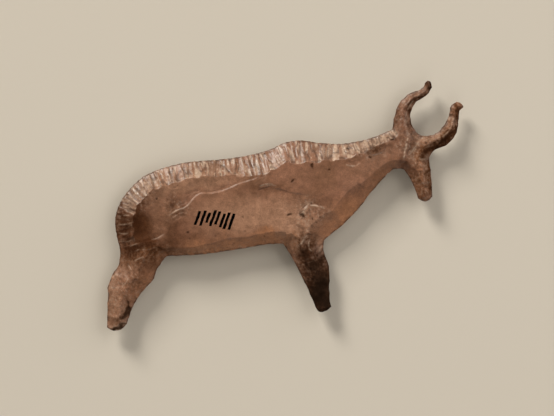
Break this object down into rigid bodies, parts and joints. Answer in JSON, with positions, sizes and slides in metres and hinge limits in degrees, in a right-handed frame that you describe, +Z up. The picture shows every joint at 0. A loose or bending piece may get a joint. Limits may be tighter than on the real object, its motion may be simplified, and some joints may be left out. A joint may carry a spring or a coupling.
{
  "type": "flint animal figurine",
  "caption": "Flat knapped flint figurine of a horned animal in profile, with a flaked edge along the back, lying on its reverse.",
  "frame": {"origin": "centre of the outline's box, on the surface the figurine lies on", "axes": "+X along the animal from hind foot to horns, +Y from feet to back, +Z up through the thickness, shown face up"},
  "size_m": [0.12, 0.0712, 0.009],
  "materials": {
    "flint": "knapped flint, dull waxy gloss"
  },
  "bodies": {
    "root": {"figurine": "flint"}
  },
  "joints": []
}
